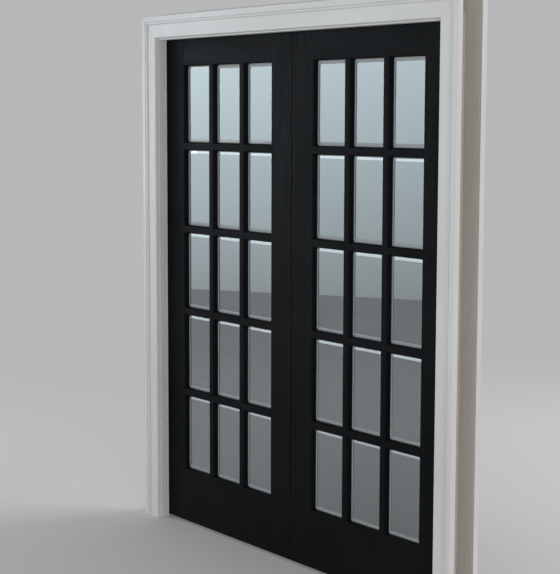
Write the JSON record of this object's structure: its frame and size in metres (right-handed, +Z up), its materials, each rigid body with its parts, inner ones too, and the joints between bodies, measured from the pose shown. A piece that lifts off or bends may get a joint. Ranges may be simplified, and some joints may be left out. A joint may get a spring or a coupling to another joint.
{
  "type": "french doors",
  "caption": "Pair of hinged french doors with bevelled glass lights in painted wood leaves, hung in a rabbeted jamb with casings and backbands on both sides.",
  "frame": {"origin": "on the floor, in the middle of the opening and of the jamb's depth", "axes": "+Z up, +X to the right seen from the stop side, +Y towards the side that the leaves open to"},
  "size_m": [1.9332, 0.121, 2.1435],
  "materials": {
    "leaf_paint": "satin black paint over wood",
    "frame_paint": "satin white paint over wood",
    "glass": "clear with a polished bevel",
    "steel": "satin"
  },
  "bodies": {
    "frame": {"back_head_backband": "frame_paint", "back_head_casing": "frame_paint", "catch_strikes": "steel", "front_head_backband": "frame_paint", "front_head_casing": "frame_paint", "head_jamb": "frame_paint", "hinge_pins": "steel", "jamb_hinge_plates": "steel", "left_back_backband": "frame_paint", "left_back_casing": "frame_paint", "left_front_backband": "frame_paint", "left_front_casing": "frame_paint", "left_side_jamb": "frame_paint", "right_back_backband": "frame_paint", "right_back_casing": "frame_paint", "right_front_backband": "frame_paint", "right_front_casing": "frame_paint", "right_side_jamb": "frame_paint"},
    "left_leaf": {"left_bottom_rail": "leaf_paint", "left_catch_magnet": "steel", "left_cross_bars_row_1": "leaf_paint", "left_cross_bars_row_2": "leaf_paint", "left_cross_bars_row_3": "leaf_paint", "left_cross_bars_row_4": "leaf_paint", "left_glazing_beads": "leaf_paint", "left_hinge_stile": "leaf_paint", "left_leaf_hinge_plates": "steel", "left_meeting_stile": "leaf_paint", "left_panes_row_1": "glass", "left_panes_row_2": "glass", "left_panes_row_3": "glass", "left_panes_row_4": "glass", "left_panes_row_5": "glass", "left_top_rail": "leaf_paint", "left_upright_bar_1": "leaf_paint", "left_upright_bar_2": "leaf_paint"},
    "right_leaf": {"right_bottom_rail": "leaf_paint", "right_catch_magnet": "steel", "right_cross_bars_row_1": "leaf_paint", "right_cross_bars_row_2": "leaf_paint", "right_cross_bars_row_3": "leaf_paint", "right_cross_bars_row_4": "leaf_paint", "right_glazing_beads": "leaf_paint", "right_hinge_stile": "leaf_paint", "right_leaf_hinge_plates": "steel", "right_meeting_stile": "leaf_paint", "right_panes_row_1": "glass", "right_panes_row_2": "glass", "right_panes_row_3": "glass", "right_panes_row_4": "glass", "right_panes_row_5": "glass", "right_top_rail": "leaf_paint", "right_upright_bar_1": "leaf_paint", "right_upright_bar_2": "leaf_paint"}
  },
  "joints": [
    {"name": "left_leaf_hinge", "type": "hinge", "parent": "frame", "child": "left_leaf", "pos_m": [-0.8666, 0.044, 0], "axis": [0, 0, 1], "range_deg": [0, 150]},
    {"name": "right_leaf_hinge", "type": "hinge", "parent": "frame", "child": "right_leaf", "pos_m": [0.8666, 0.044, 0], "axis": [0, 0, -1], "range_deg": [0, 150]}
  ]
}
